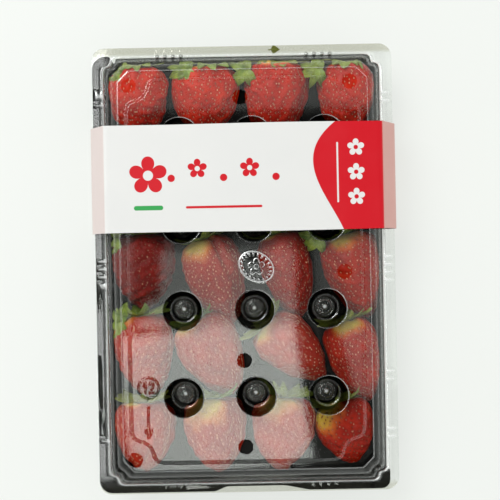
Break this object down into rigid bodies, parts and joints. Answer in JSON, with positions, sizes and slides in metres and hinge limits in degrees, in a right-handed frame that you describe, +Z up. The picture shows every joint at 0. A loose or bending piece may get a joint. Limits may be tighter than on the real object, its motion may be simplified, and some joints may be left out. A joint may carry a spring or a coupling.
{
  "type": "punnet of strawberries",
  "caption": "Shut punnet of large strawberries in a black tray and clear base, under a clear lid with deep wells and a card sleeve.",
  "frame": {"origin": "middle of the pack's bounding box at its lowest point, where its feet stand", "axes": "+X across the pack, +Y along it towards the back strip where the sleeve is nearer, +Z up out of the lid"},
  "size_m": [0.2032, 0.297, 0.0508],
  "materials": {
    "clear_plastic": "thin clear formed PET sheet, smooth and glossy",
    "black_plastic": "thin black formed plastic sheet, satin gloss",
    "berry_flesh": "ripe red strawberry skin with seeds in dimples, paler yellow at some shoulders, moist gloss",
    "berry_leaf": "green strawberry calyx leaves, matt and finely veined",
    "printed_card": "white coated card with a red printed field, satin"
  },
  "bodies": {
    "root": {"base": "clear_plastic", "nest_tray": "black_plastic", "strawberries": "berry_flesh", "lid": "clear_plastic", "sleeve": "printed_card", "leaf_tip": "berry_leaf"}
  },
  "joints": []
}
